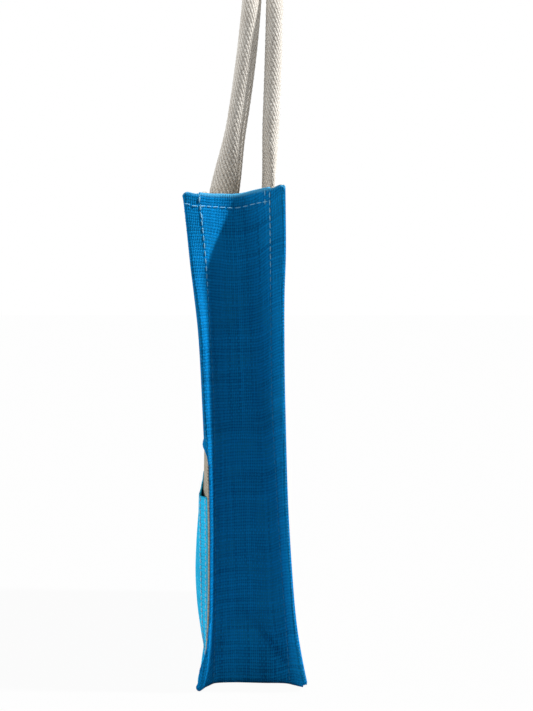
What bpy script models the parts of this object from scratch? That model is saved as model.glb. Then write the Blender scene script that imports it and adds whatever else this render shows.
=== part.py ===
"""Jute tote bag with a front pocket and two padded handles, standing on its bottom seams."""

import math

import bpy
from mathutils import Vector

# Sizes of the bag in metres: X runs along its width, Y from front to back, Z up from the floor
BAG_WIDTH = 0.350
BAG_HEIGHT = 0.370
BACK_RISE = 0.003
GUSSET_WIDTH = 0.0615
CLOTH = 0.0012
CLEARANCE = 0.0003
SEAM_WIDTH = 0.011
SEAM_FOOT = 0.0045
CORNER_RADIUS = 0.008
EAR_REACH = 0.30
CORNER_SLACK = 0.30
FOOT_SPLAY = 0.85
HEM_DEPTH = 0.0115
HEM_SLOT = 0.0006
MOUTH_SAG = 0.007
BOTTOM_LIFT = 0.0010
FACE_BORDER = 0.012
FRONT_BELLY = 0.010
BACK_BELLY = 0.008
GUSSET_SHIFT = 0.0048

# Sizes of the pocket, which stops short of the side seams by its inset
POCKET_INSET = 0.015
POCKET_WIDTH = BAG_WIDTH - 2 * POCKET_INSET
POCKET_HEIGHT = 0.141
POCKET_SEAM = 0.010
POCKET_GAPE = 0.0065
POCKET_FLARE = 0.0032

# Sizes of the handles
HANDLE_DIAMETER = 0.0135
HANDLE_FLAT_WIDTH = 0.022
HANDLE_FLAT_THICKNESS = 0.0040
HANDLE_SPACING = 0.130
HANDLE_RISE = 0.200
HANDLE_SEWN = 0.024
HANDLE_TAIL = 0.018
HANDLE_GAP = 0.0035
HANDLE_LEAN_BACK = 0.006
FRONT_TURN = 70.0
BACK_TURN = 20.0
TAPER_LENGTH = 0.060

# Shape of the bag's ends, bottom to top. Columns: share of the height, place of the front and
# back stitch lines as a share of the gusset's width, how far each seam turns out in degrees,
# and share of the front and back belly
END_SHAPE = (
    (0.00, -0.483, 25.0, 0.483, 26.0, 0.10, -0.50),
    (0.09, -0.471, 15.0, 0.459, 22.0, 0.75, 0.30),
    (0.25, -0.459, 12.0, 0.384, 22.0, 1.00, 0.40),
    (0.40, -0.462, 13.0, 0.328, 24.0, 1.00, 0.58),
    (0.58, -0.472, 26.0, 0.270, 37.0, 0.70, 0.85),
    (0.72, -0.515, 27.0, 0.257, 38.0, 0.50, 0.88),
    (0.80, -0.537, 42.0, 0.250, 43.0, 0.40, 0.88),
    (0.89, -0.567, 66.0, 0.242, 58.0, 0.20, 0.94),
    (1.00, -0.629, 79.0, 0.232, 61.0, -0.15, 1.00),
)
# How far the pocket stands off the panel. Columns: share of its height, share of the gape in
# its middle, share of the flare beside its stitched sides
POCKET_SHAPE = (
    (0.00, 0.00, 0.00),
    (0.12, 0.28, 0.20),
    (0.31, 0.85, 0.55),
    (0.52, 1.00, 0.65),
    (0.78, 0.60, 0.85),
    (1.00, 0.06, 1.00),
)

LAYER_STEP = CLOTH + CLEARANCE
HEM_RADIUS = (CLOTH + HEM_SLOT) / 2
HEM_STEP = 2 * HEM_RADIUS + CLEARANCE
FACE_LOW = SEAM_FOOT + FACE_BORDER
FACE_HALF = BAG_WIDTH / 2 - FACE_BORDER
CORNER_CUT = CORNER_RADIUS * (1 - math.sqrt(0.5))
CORNER_REACH = 5 * FACE_BORDER
SEAM_LAND = CLOTH + CLEARANCE / 2
POCKET_HALF = POCKET_WIDTH / 2
POCKET_FREE = POCKET_HALF - POCKET_SEAM

BELLY_POWER = 4
LEAVE_SHARE = 0.55
FOLD_STEPS = 3
BORDER_STEPS = 3
GUSSET_STEPS = 8
LOW_ROWS = 5
HIGH_ROWS = 7
HANDLE_SIDES = 12
ARCH_STEPS = 6
LEAN_POWER = 1.6
MOUTH_SWELL = 0.35
FLARE_POWER = 12
FLARE_PLACE = FLARE_POWER / (FLARE_POWER + 1)
FRONT, BACK = -1, 1

COLOURS = {
    "panel_cloth": ((0.70, 0.66, 0.58), 0.95),
    "gusset_cloth": ((0.004, 0.12, 0.27), 0.92),
    "pocket_cloth": ((0.02, 0.36, 0.72), 0.90),
    "handle_tape": ((0.72, 0.68, 0.58), 0.90),
}


def clear_scene():
    for old in list(bpy.data.objects):
        bpy.data.objects.remove(old, do_unlink=True)


def make_material(name):
    colour, roughness = COLOURS[name]
    material = bpy.data.materials.new(name)
    material.use_nodes = True
    shader = material.node_tree.nodes["Principled BSDF"]
    shader.inputs["Base Color"].default_value = (*colour, 1.0)
    shader.inputs["Roughness"].default_value = roughness
    shader.inputs["Metallic"].default_value = 0.0
    return material


def spread(low, high, steps):
    return [low + (high - low) * step / steps for step in range(steps + 1)]


def clamp(value):
    return min(1.0, max(0.0, value))


def read_curve(table, column, at):
    """Smooth curve through one column of a table whose first column rises."""
    last = len(table) - 1
    k = max(i for i in range(last) if table[i][0] <= at or i == 0)
    x0, x1 = table[k][0], table[k + 1][0]
    y0, y1 = table[k][column], table[k + 1][column]

    def slope(i):
        low, high = max(i - 1, 0), min(i + 1, last)
        return (table[high][column] - table[low][column]) / (table[high][0] - table[low][0])

    t = clamp((at - x0) / (x1 - x0))
    rise, run = y1 - y0, x1 - x0
    a = slope(k) * run - rise
    b = rise - slope(k + 1) * run
    return y0 + rise * t + t * (1 - t) * (a * (1 - t) + b * t)


def top_height(side):
    return BAG_HEIGHT + (BACK_RISE if side == BACK else 0.0)


def stitch_y(side, share):
    column = 1 if side == FRONT else 3
    return read_curve(END_SHAPE, column, share) * GUSSET_WIDTH + GUSSET_SHIFT


def seam_turn(side, share):
    return math.radians(read_curve(END_SHAPE, 2 if side == FRONT else 4, share))


def face_y(side, x, share):
    """Place of a panel's middle surface at x and a share of the height."""
    belly = FRONT_BELLY if side == FRONT else BACK_BELLY
    fullness = read_curve(END_SHAPE, 5 if side == FRONT else 6, share)
    across = 1 - abs(2 * x / BAG_WIDTH) ** BELLY_POWER
    return stitch_y(side, share) + side * belly * fullness * across


def face_rows():
    """Heights of the panel's rows: the corner, the pocket and its mouth, the top hem."""
    low = [FACE_LOW] + spread(FACE_LOW + FACE_BORDER, POCKET_HEIGHT, LOW_ROWS)[:-1]
    high = spread(POCKET_HEIGHT, BAG_HEIGHT - HEM_DEPTH, HIGH_ROWS)
    return low + high + [BAG_HEIGHT]


def face_columns():
    half = [POCKET_FREE / 3, POCKET_FREE * 2 / 3, POCKET_FREE * FLARE_PLACE, POCKET_FREE]
    half += [POCKET_HALF, FACE_HALF]
    return [-x for x in reversed(half)] + [0.0] + half


ROWS = face_rows()
COLUMNS = face_columns()


def stitch_on_side(side, way, z):
    """Stitch point beside the face's edge at z, and how far the seam is a bottom seam there."""
    near = clamp((z - FACE_LOW) / CORNER_REACH)
    height = z - (FACE_BORDER - CORNER_CUT) * (1 - near) ** 2
    place = way * (BAG_WIDTH / 2 - CORNER_CUT * (1 - near) ** 3)
    lift = top_height(side) / BAG_HEIGHT
    point = Vector((place, stitch_y(side, height / BAG_HEIGHT), height * lift))
    return point, 0.5 * (1 - near) ** 3


def stitch_on_bottom(side, way, x):
    near = clamp((abs(x) - FACE_HALF) / CORNER_REACH + 1)
    place = x + way * (FACE_BORDER - CORNER_CUT) * near ** 2
    point = Vector((place, face_y(side, place, 0.0), SEAM_FOOT))
    return point, 1 - 0.5 * near ** 3


def seam_sample(side, x, z):
    """Stitch point, crease and edge of the seam beside the face point (x, z)."""
    way = 1 if x > 0 else -1
    if abs(x) == FACE_HALF:
        stitch, bottom = stitch_on_side(side, way, z)
    else:
        stitch, bottom = stitch_on_bottom(side, way, x)
    turn = seam_turn(side, stitch.z / BAG_HEIGHT)
    sideways = Vector((way * math.cos(turn), side * math.sin(turn), 0.0)) * SEAM_WIDTH
    splayed = Vector((0.0, side * SEAM_WIDTH * FOOT_SPLAY, 0.0))
    corner = 4 * bottom * (1 - bottom)
    edge = stitch + sideways.lerp(splayed, bottom) * (1 + EAR_REACH * corner)
    crease = stitch.lerp(edge, 0.5)
    pressed = min(1.0, 2 * bottom) if side == FRONT else bottom ** 2
    land = SEAM_LAND * (1 + CORNER_SLACK * corner)
    edge.z += (land - edge.z) * pressed
    crease.z += (edge.z - crease.z) * bottom
    return stitch, crease, edge, bottom


def seam_path(side):
    """Samples of a seam from the top left, down, along the bottom and up to the top right."""
    spots = [(-FACE_HALF, z) for z in reversed(ROWS)]
    spots += [(x, FACE_LOW) for x in COLUMNS[1:-1]]
    spots += [(FACE_HALF, z) for z in ROWS]
    samples = [seam_sample(side, x, z) for x, z in spots]
    path = []
    for i, sample in enumerate(samples):
        before, after = samples[max(i - 1, 0)], samples[min(i + 1, len(samples) - 1)]
        normals = []
        for k in range(3):
            along = after[k] - before[k]
            outward = sample[min(k + 1, 2)] - sample[max(k - 1, 0)]
            normals.append(along.cross(outward).normalized() * -side)
        path.append((*sample, normals))
    return path


SEAMS = {side: seam_path(side) for side in (FRONT, BACK)}


def layer_points(sample, shift):
    """Stitch, crease and edge moved from the seam's middle plane to one of its layers."""
    *points, bottom, normals = sample
    shift *= 1 + CORNER_SLACK * 4 * bottom * (1 - bottom)
    stitch, crease, edge = [point + normal * shift for point, normal in zip(points, normals)]
    if bottom == 1:
        crease.z = edge.z
    return stitch, crease, edge


def bezier(points, t):
    points = list(points)
    while len(points) > 1:
        points = [a.lerp(b, t) for a, b in zip(points, points[1:])]
    return points[0]


def face_point(side, x, z):
    return Vector((x, face_y(side, x, z / BAG_HEIGHT), z * top_height(side) / BAG_HEIGHT))


def face_grid(side):
    return [[face_point(side, x, z) for x in COLUMNS] for z in ROWS]


def border_strip(side, grid):
    """For each seam sample, the panel's points from its face out to the seam's edge."""
    rows, columns = len(ROWS), len(COLUMNS)
    spots = [(j, 0, 0, 1) for j in reversed(range(rows))]
    spots += [(0, i, 1, 0) for i in range(1, columns - 1)]
    spots += [(j, columns - 1, 0, -1) for j in range(rows)]
    strip = []
    for (j, i, dj, di), sample in zip(spots, SEAMS[side]):
        start = grid[j][i]
        if j == 0 and i in (0, columns - 1):
            dj = 1
        outward = (start - grid[j + dj][i + di]).normalized()
        stitch, crease, edge = layer_points(sample, -LAYER_STEP / 2)
        back = (stitch - crease).normalized()
        reach = (stitch - start).length / 3
        curve = (start, start + outward * reach, stitch + back * reach, stitch)
        between = [bezier(curve, step / BORDER_STEPS) for step in range(1, BORDER_STEPS)]
        strip.append([start] + between + [stitch, crease, edge])
    return strip


def surface_normals(lattice, toward):
    """Unit normal at each point of a lattice, on the side of the vector toward."""
    rows, columns = len(lattice), len(lattice[0])
    normals = []
    for j in range(rows):
        line = []
        for i in range(columns):
            up = lattice[min(j + 1, rows - 1)][i] - lattice[max(j - 1, 0)][i]
            across = lattice[j][min(i + 1, columns - 1)] - lattice[j][max(i - 1, 0)]
            normal = up.cross(across).normalized()
            line.append(normal if normal.dot(toward) > 0 else -normal)
        normals.append(line)
    return normals


def folded_hem(top_line, hem_line, inward_top, inward_hem):
    """Rows that fold a top edge over to the inside and down to the hem's lower edge."""
    rows = []
    for step in range(1, FOLD_STEPS + 1):
        angle = math.pi * step / FOLD_STEPS
        inward = HEM_RADIUS * (1 - math.cos(angle))
        upward = Vector((0, 0, HEM_RADIUS * math.sin(angle)))
        rows.append([p + n * inward + upward for p, n in zip(top_line, inward_top)])
    rows.append([p + n * 2 * HEM_RADIUS for p, n in zip(hem_line, inward_hem)])
    return rows


class Sheet:
    """Middle surface of one piece of cloth, given its thickness at the end."""

    def __init__(self):
        self.points = []
        self.faces = []

    def line(self, points):
        first = len(self.points)
        self.points.extend(points)
        return list(range(first, len(self.points)))

    def join(self, low, high, rising=True):
        """Two triangles for each step between two lines of points."""
        for a, b, c, d in zip(low, low[1:], high[1:], high):
            if rising:
                self.faces += [(a, b, c), (a, c, d)]
            else:
                self.faces += [(a, b, d), (b, c, d)]

    def finish(self, name, material):
        mesh = bpy.data.meshes.new(name)
        mesh.from_pydata([tuple(p) for p in self.points], [], self.faces)
        mesh.materials.append(make_material(material))
        mesh.shade_smooth()
        piece = bpy.data.objects.new(name, mesh)
        bpy.context.collection.objects.link(piece)
        wall = piece.modifiers.new("cloth", "SOLIDIFY")
        wall.thickness = CLOTH
        wall.offset = 0.0
        wall.use_even_offset = True
        return piece


def make_panel(side, name):
    """A flat panel with its top hem and the seam allowance round its other three sides."""
    grid = face_grid(side)
    strip = border_strip(side, grid)
    sheet = Sheet()
    lines = [sheet.line(row) for row in grid]
    for low, high in zip(lines, lines[1:]):
        sheet.join(low, high)
    ring = [line[0] for line in reversed(lines)] + lines[0][1:-1] + [line[-1] for line in lines]
    for step in range(1, len(strip[0])):
        outer = sheet.line([points[step] for points in strip])
        sheet.join(outer, ring)
        ring = outer
    inside = surface_normals(grid, Vector((0, -side, 0)))
    previous = lines[-1]
    for row in folded_hem(grid[-1], grid[-2], inside[-1], inside[-2]):
        fold = sheet.line(row)
        sheet.join(previous, fold)
        previous = fold
    return sheet.finish(name, "panel_cloth")


def gusset_section(front, back, share):
    """Points across the band between its two seams."""
    start = layer_points(front, LAYER_STEP / 2)
    end = layer_points(back, LAYER_STEP / 2)
    bottom = (front[3] + back[3]) / 2
    chord = end[0] - start[0]
    span = abs(chord.y)
    slack = max(GUSSET_WIDTH - span, 0.0)
    recess = math.sqrt(3 * span * slack / 8)
    way = -1 if start[0].x > 0 else 1
    inward = Vector((way * recess * (1 - bottom), 0, BOTTOM_LIFT * bottom))
    middle = (start[0] + end[0]) / 2 + inward
    middle.z -= MOUTH_SAG * share ** 4
    handle = LEAVE_SHARE * (recess * (1 - bottom) + SEAM_WIDTH * bottom)
    leave = start[0] + (start[0] - start[1]).normalized() * handle
    arrive = end[0] + (end[0] - end[1]).normalized() * handle
    pull = (middle * 16 - start[0] - leave * 4 - arrive * 4 - end[0]) / 6
    curve = (start[0], leave, pull, arrive, end[0])
    between = [bezier(curve, step / GUSSET_STEPS) for step in range(1, GUSSET_STEPS)]
    return [start[2], start[1], start[0]] + between + [end[0], end[1], end[2]]


def gusset_lattice():
    rows = []
    for front, back in zip(SEAMS[FRONT], SEAMS[BACK]):
        rows.append(gusset_section(front, back, front[0].z / BAG_HEIGHT))
    return rows


def make_gusset():
    """The one band of cloth that makes both ends and the bottom."""
    lattice = gusset_lattice()
    sheet = Sheet()
    lines = [sheet.line(row) for row in lattice]
    for low, high in zip(lines, lines[1:]):
        sheet.join(low[:-2], high[:-2])
        sheet.join(low[-3:], high[-3:], rising=False)
    hemmed = slice(3, 2 + GUSSET_STEPS)
    for end, beside, way in ((0, 1, 1), (-1, -2, -1)):
        inside = surface_normals([lattice[end], lattice[beside]], Vector((way, 0, 0)))
        top, low = lattice[end][hemmed], lattice[beside][hemmed]
        previous = lines[end][hemmed]
        for row in folded_hem(top, low, inside[0][hemmed], inside[1][hemmed]):
            fold = sheet.line(row)
            if way > 0:
                sheet.join(fold, previous)
            else:
                sheet.join(previous, fold)
            previous = fold
    return sheet.finish("gusset_band", "gusset_cloth")


def pocket_stand_off(x, z):
    """How far the pocket stands off the panel at x and at a height z above the floor."""
    share = z / POCKET_HEIGHT
    across = clamp(abs(x) / POCKET_FREE)
    corner = clamp(abs(x) / POCKET_HALF) ** FLARE_POWER * clamp(2 - z / FACE_LOW)
    flare = across ** FLARE_POWER * (1 - across) / (FLARE_PLACE ** FLARE_POWER * (1 - FLARE_PLACE))
    middle = POCKET_GAPE * read_curve(POCKET_SHAPE, 1, share) * (1 - across ** 3)
    beside = POCKET_FLARE * read_curve(POCKET_SHAPE, 2, share) * flare
    return LAYER_STEP * (1 + CORNER_SLACK * corner) + middle + beside


def make_pocket():
    """A patch over the front panel: sewn at its sides, caught in the bottom seam, open above."""
    grid = face_grid(FRONT)
    strip = border_strip(FRONT, grid)
    first = COLUMNS.index(-POCKET_HALF)
    last = COLUMNS.index(POCKET_HALF)
    mouth = ROWS.index(POCKET_HEIGHT)
    corner = len(ROWS) - 1
    below = [[strip[corner + i][step] for i in range(first, last + 1)]
             for step in range(len(strip[0]) - 1, 0, -1)]
    lattice = below + [row[first:last + 1] for row in grid[:mouth + 1]]
    heights = [0.0] * len(below) + ROWS[:mouth + 1]
    outward = surface_normals(lattice, Vector((0, -1, 0.35)))
    shell = []
    for row, normals, height in zip(lattice, outward, heights):
        shell.append([point + normal * pocket_stand_off(point.x, height)
                      for point, normal in zip(row, normals)])
    sheet = Sheet()
    lines = [sheet.line(row) for row in shell]
    for low, high in zip(lines, lines[1:]):
        sheet.join(low, high)
    return sheet.finish("pocket", "pocket_cloth")


def hem_inner_y(side, x, z):
    """Inner face of a panel's hem at x and z."""
    return face_y(side, x, z / BAG_HEIGHT) - side * (2 * HEM_RADIUS + CLOTH / 2)


def ease(low, high, value):
    t = clamp((value - low) / (high - low))
    return t * t * (3 - 2 * t)


def handle_places():
    """Middle of each handle where it is sewn, at the mouth and at its top."""
    leg = HANDLE_SPACING / 2
    sewn, mouth = {}, {}
    for side, turn in ((FRONT, FRONT_TURN), (BACK, BACK_TURN)):
        thick = HANDLE_FLAT_THICKNESS / 2 + CLEARANCE - HEM_STEP + CLEARANCE
        sewn[side] = hem_inner_y(side, leg, BAG_HEIGHT - HEM_DEPTH) - side * thick
        wide = max(HANDLE_FLAT_WIDTH / 2 * math.sin(math.radians(turn)), HANDLE_DIAMETER / 2)
        mouth[side] = hem_inner_y(side, leg, BAG_HEIGHT) - side * (wide + HEM_SLOT)
    top = {BACK: mouth[BACK] + HANDLE_LEAN_BACK}
    top[FRONT] = top[BACK] - HANDLE_DIAMETER - HANDLE_GAP
    return sewn, mouth, top


def handle_station(side, height, places):
    """Place, wide and thick half sizes and turn of a handle at one height of a leg."""
    sewn, mouth, top = (place[side] for place in places)
    hem_edge = BAG_HEIGHT - HEM_DEPTH
    over_hem = -side * HEM_STEP * ease(hem_edge - HANDLE_TAIL, hem_edge - CLEARANCE, height)
    enter = ease(BAG_HEIGHT - HANDLE_TAIL, BAG_HEIGHT, height)
    rise = clamp((height - BAG_HEIGHT) / HANDLE_RISE)
    place = sewn + over_hem * (1 - enter) + (mouth - sewn) * enter
    place += (top - mouth) * (1 - (1 - rise) ** LEAN_POWER)
    fullness = ease(BAG_HEIGHT, BAG_HEIGHT + TAPER_LENGTH, height)
    swell = enter * MOUTH_SWELL + (1 - enter * MOUTH_SWELL) * fullness
    wide = HANDLE_FLAT_WIDTH / 2 * (1 - fullness) + HANDLE_DIAMETER / 2 * fullness
    thick = HANDLE_FLAT_THICKNESS / 2 * (1 - swell) + HANDLE_DIAMETER / 2 * swell
    turn = math.radians(FRONT_TURN if side == FRONT else BACK_TURN)
    return place, wide, thick, turn * enter


def handle_stations(side):
    """Stations over the whole handle, from one sewn end over the top to the other."""
    places = handle_places()
    radius = HANDLE_SPACING / 2
    end = BAG_HEIGHT - HEM_DEPTH - HANDLE_TAIL - HANDLE_SEWN
    shoulder = BAG_HEIGHT + HANDLE_RISE - radius
    heights = [end] + spread(end + HANDLE_SEWN, BAG_HEIGHT, 7)
    heights += spread(BAG_HEIGHT, BAG_HEIGHT + TAPER_LENGTH, 4)[1:]
    heights += spread(BAG_HEIGHT + TAPER_LENGTH, shoulder, 3)[1:]
    spots = [(radius, height, 1.0) for height in heights]
    for step in range(1, ARCH_STEPS + 1):
        angle = math.pi / 2 * step / ARCH_STEPS
        spots.append((radius * math.cos(angle), shoulder + radius * math.sin(angle),
                      1 - step / ARCH_STEPS))
    stations = []
    for x, height, share in spots:
        place, wide, thick, turn = handle_station(side, height, places)
        stations.append((Vector((x, place, height)), wide, thick, turn * share))
    mirrored = [(Vector((-c.x, c.y, c.z)), wide, thick, -turn)
                for c, wide, thick, turn in reversed(stations[:-1])]
    return stations + mirrored


def make_handle(side, name):
    """A padded tape handle: flat where it is sewn in, round where it is held."""
    stations = handle_stations(side)
    mesh = bpy.data.meshes.new(name)
    points, faces = [], []
    for k, (centre, wide, thick, twist) in enumerate(stations):
        before = stations[max(k - 1, 0)][0]
        after = stations[min(k + 1, len(stations) - 1)][0]
        tangent = (after - before).normalized()
        depth = Vector((0, 1, 0))
        depth = (depth - tangent * depth.dot(tangent)).normalized()
        breadth = depth.cross(tangent)
        for i in range(HANDLE_SIDES):
            angle = 2 * math.pi * (i + 0.5) / HANDLE_SIDES
            u, v = wide * math.cos(angle), thick * math.sin(angle)
            a = u * math.cos(twist) - v * math.sin(twist)
            b = u * math.sin(twist) + v * math.cos(twist)
            points.append(centre + breadth * a + depth * b)
    count = len(stations)
    for k in range(count - 1):
        for i in range(HANDLE_SIDES):
            j = (i + 1) % HANDLE_SIDES
            low, high = k * HANDLE_SIDES, (k + 1) * HANDLE_SIDES
            faces.append((low + i, low + j, high + j, high + i))
    faces.append(tuple(reversed(range(HANDLE_SIDES))))
    faces.append(tuple(range((count - 1) * HANDLE_SIDES, count * HANDLE_SIDES)))
    mesh.from_pydata([tuple(p) for p in points], [], faces)
    mesh.materials.append(make_material("handle_tape"))
    mesh.shade_smooth()
    mesh.set_sharp_from_angle(angle=math.radians(50))
    piece = bpy.data.objects.new(name, mesh)
    bpy.context.collection.objects.link(piece)
    return piece


def main():
    clear_scene()
    make_panel(FRONT, "front_panel")
    make_panel(BACK, "back_panel")
    make_gusset()
    make_pocket()
    make_handle(FRONT, "front_handle")
    make_handle(BACK, "back_handle")


main()
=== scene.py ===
"""Looks of the jute tote bag: its woven cloth, stitching and padded handles, light and camera."""

import math

import bpy
import numpy as np
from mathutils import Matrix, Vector, noise


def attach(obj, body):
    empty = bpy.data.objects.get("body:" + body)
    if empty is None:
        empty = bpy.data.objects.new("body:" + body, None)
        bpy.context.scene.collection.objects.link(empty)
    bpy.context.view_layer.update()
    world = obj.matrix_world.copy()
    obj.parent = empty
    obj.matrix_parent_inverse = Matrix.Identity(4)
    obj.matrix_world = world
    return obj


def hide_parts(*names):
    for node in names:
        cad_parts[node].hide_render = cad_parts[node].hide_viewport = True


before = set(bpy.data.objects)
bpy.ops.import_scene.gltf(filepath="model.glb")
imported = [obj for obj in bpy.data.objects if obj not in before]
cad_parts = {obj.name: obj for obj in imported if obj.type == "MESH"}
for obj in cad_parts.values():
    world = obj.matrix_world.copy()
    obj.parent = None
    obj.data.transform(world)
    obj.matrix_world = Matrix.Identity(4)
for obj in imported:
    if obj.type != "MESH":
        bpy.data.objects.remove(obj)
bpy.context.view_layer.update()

# Sizes of the bag, as in the part: X runs along its width, Y from front to back, Z up
BAG_WIDTH = 0.350
BAG_HEIGHT = 0.370
BACK_RISE = 0.003
GUSSET_WIDTH = 0.0615
CLOTH = 0.0012
CLEARANCE = 0.0003
SEAM_WIDTH = 0.011
SEAM_FOOT = 0.0045
CORNER_RADIUS = 0.008
EAR_REACH = 0.30
CORNER_SLACK = 0.30
FOOT_SPLAY = 0.85
HEM_DEPTH = 0.0115
HEM_SLOT = 0.0006
MOUTH_SAG = 0.007
BOTTOM_LIFT = 0.0010
FACE_BORDER = 0.012
FRONT_BELLY = 0.010
BACK_BELLY = 0.008
GUSSET_SHIFT = 0.0048
POCKET_INSET = 0.015
POCKET_WIDTH = BAG_WIDTH - 2 * POCKET_INSET
POCKET_HEIGHT = 0.141
POCKET_SEAM = 0.010
POCKET_GAPE = 0.0065
POCKET_FLARE = 0.0032
HANDLE_DIAMETER = 0.0135
HANDLE_FLAT_WIDTH = 0.022
HANDLE_FLAT_THICKNESS = 0.0040
HANDLE_SPACING = 0.130
HANDLE_RISE = 0.200
HANDLE_SEWN = 0.024
HANDLE_TAIL = 0.018
HANDLE_GAP = 0.0035
HANDLE_LEAN_BACK = 0.006
FRONT_TURN = 70.0
BACK_TURN = 20.0
TAPER_LENGTH = 0.060
FLARE_POWER = 12
FLARE_PLACE = FLARE_POWER / (FLARE_POWER + 1)
BELLY_POWER = 4
LEAVE_SHARE = 0.55
LEAN_POWER = 1.6
MOUTH_SWELL = 0.35
FRONT, BACK = -1, 1

# Shape of the bag's ends, bottom to top. Columns: share of the height, place of the front and
# back stitch lines as a share of the gusset's width, how far each seam turns out in degrees,
# and share of the front and back belly
END_SHAPE = (
    (0.00, -0.483, 25.0, 0.483, 26.0, 0.10, -0.50),
    (0.09, -0.471, 15.0, 0.459, 22.0, 0.75, 0.30),
    (0.25, -0.459, 12.0, 0.384, 22.0, 1.00, 0.40),
    (0.40, -0.462, 13.0, 0.328, 24.0, 1.00, 0.58),
    (0.58, -0.472, 26.0, 0.270, 37.0, 0.70, 0.85),
    (0.72, -0.515, 27.0, 0.257, 38.0, 0.50, 0.88),
    (0.80, -0.537, 42.0, 0.250, 43.0, 0.40, 0.88),
    (0.89, -0.567, 66.0, 0.242, 58.0, 0.20, 0.94),
    (1.00, -0.629, 79.0, 0.232, 61.0, -0.15, 1.00),
)
# How far the pocket stands off the panel. Columns: share of its height, share of the gape in
# its middle, share of the flare beside its stitched sides
POCKET_SHAPE = (
    (0.00, 0.00, 0.00),
    (0.12, 0.28, 0.20),
    (0.31, 0.85, 0.55),
    (0.52, 1.00, 0.65),
    (0.78, 0.60, 0.85),
    (1.00, 0.06, 1.00),
)

LAYER_STEP = CLOTH + CLEARANCE
HEM_RADIUS = (CLOTH + HEM_SLOT) / 2
HEM_STEP = 2 * HEM_RADIUS + CLEARANCE
FACE_LOW = SEAM_FOOT + FACE_BORDER
FACE_HALF = BAG_WIDTH / 2 - FACE_BORDER
CORNER_CUT = CORNER_RADIUS * (1 - math.sqrt(0.5))
CORNER_REACH = 5 * FACE_BORDER
SEAM_LAND = CLOTH + CLEARANCE / 2
POCKET_HALF = POCKET_WIDTH / 2
POCKET_FREE = POCKET_HALF - POCKET_SEAM

# Steps of the fine meshes, in metres, points across the narrow strips, rows in a hem, and the
# point across the band's hem where its run of cloth is measured
PANEL_STEP = 0.0030
GUSSET_STEP = 0.0022
POCKET_STEP = 0.0026
BORDER_STEPS = 6
SEAM_STEPS = 3
GUSSET_STEPS = 30
FOLD_STEPS = 6
HEM_ROWS = 5
HEM_SAMPLE = 10

# The band's edge, rolled round the panel's raw edge, down to where the pocket begins. It starts
# again at the foot.
ROLL_ROOM = 0.0015
PANEL_ROOM = 0.0021
ROLL_BACK = 0.0040
ROLL_STEPS = 6
BACK_STEPS = 2
ROLL_END = POCKET_HEIGHT + 0.052
ROLL_FADE = 0.028
ROLL_LOW = ROLL_END - ROLL_FADE * 0.9
FOOT_ROLL = (0.060, 0.012)
FOOT_ROLL_HIGH = 0.057
LEAST_TURN = 0.08

# The mouth: how the cloth beside the hem lifts, falls beside the seams and is rounded outside
FRONT_FALL = 0.0024
BACK_FALL = 0.0015
MOUTH_LIFT = 0.0007
MOUTH_RAISE = 0.0024
MOUTH_ROUND = 0.0030
MOUTH_DROP = 0.0010

# Places between which each share of the last settling grows from nothing to the whole
MOUTH_HEIGHTS = (BAG_HEIGHT - 0.035, BAG_HEIGHT)
MOUTH_ENDS = (0.10, 0.163)
FRONT_SEAM = (-0.014, -0.032)
FRONT_EDGE = (-0.035, -0.044)
BACK_SEAM = (0.004, 0.018)
BACK_EDGE = (0.019, 0.028)
FAR_END = (-0.09, -0.17)
FAR_BACK = (0.012, 0.040)
FAR_FOOT = (0.060, 0.012)
FAR_TUCK = 0.0075

# Lines of the bottom corners' folds, from their upper end down, and how deep the cloth lies
# beside them
FOOT_FOLDS = (((0.0186, 0.0330), (0.0408, 0.0043), 0.0060),
              ((-0.0200, 0.0260), (-0.0300, 0.0043), -0.0040))
FOLD_EDGE = (-0.0012, 0.0024)
FOLD_HEIGHTS = (0.075, 0.020)

# Thread: the pitch and length of its stitches, how thick it is and how far it stands out
STITCH_PITCH = 0.0056
STITCH_LENGTH = 0.0045
THREAD = 0.00085
THREAD_OUT = CLOTH / 2 + THREAD * 0.3
HEM_THREAD = 0.0007
POCKET_THREAD = 0.0015
POCKET_ROWS = (0.0045, 0.0165)
SECOND_SEAM = 0.0006

# Box of stitches at each sewn end of a handle: how far it stops short of the end and of the
# sides, and the points along each of its sides
BOX_SHORT = 0.004
BOX_INSET = 0.0035
BOX_STEPS = 8

# Weave: pitch of the ribs that run across the gusset, and of the yarns that cross them, and how
# far they wander
RIB_PITCH = 0.0023
YARN_PITCH = 0.00145
NATURAL_YARN_PITCH = 0.0024
WEAVE_WANDER = 0.0022

# Blues of the light in the weave's gaps, of the painted highlight along the fold at the mouth, and
# of the thread
PINHOLE_BLUE = (0.03, 0.34, 0.46)
FOLD_HIGHLIGHT_BLUE = (0.10, 0.42, 0.66)
PALE_BLUE = (0.22, 0.60, 0.88)

# Length of the band's cloth from the middle of the bottom to the mouth
BAND_HALF = 0.5397

# Slow waves of the hanging cloth: their height in each piece, their two scales, and how deep
# the end of the bag is where the band has them
PANEL_WAVE = 0.0011
GUSSET_WAVE = 0.0013
POCKET_WAVE = 0.0006
POCKET_WAVE_MOST = 0.0012
WAVE_SCALES = (0.055, 0.021)
END_DEPTH = 0.025


def spread(low, high, step):
    """Evenly spaced values from low to high, no further apart than step."""
    count = max(1, math.ceil((high - low) / step - 1e-6))
    return [low + (high - low) * k / count for k in range(count + 1)]


def clamp(value):
    return min(1.0, max(0.0, value))


def ease(low, high, value):
    t = np.clip((value - low) / (high - low), 0.0, 1.0)
    return t * t * (3 - 2 * t)


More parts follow.
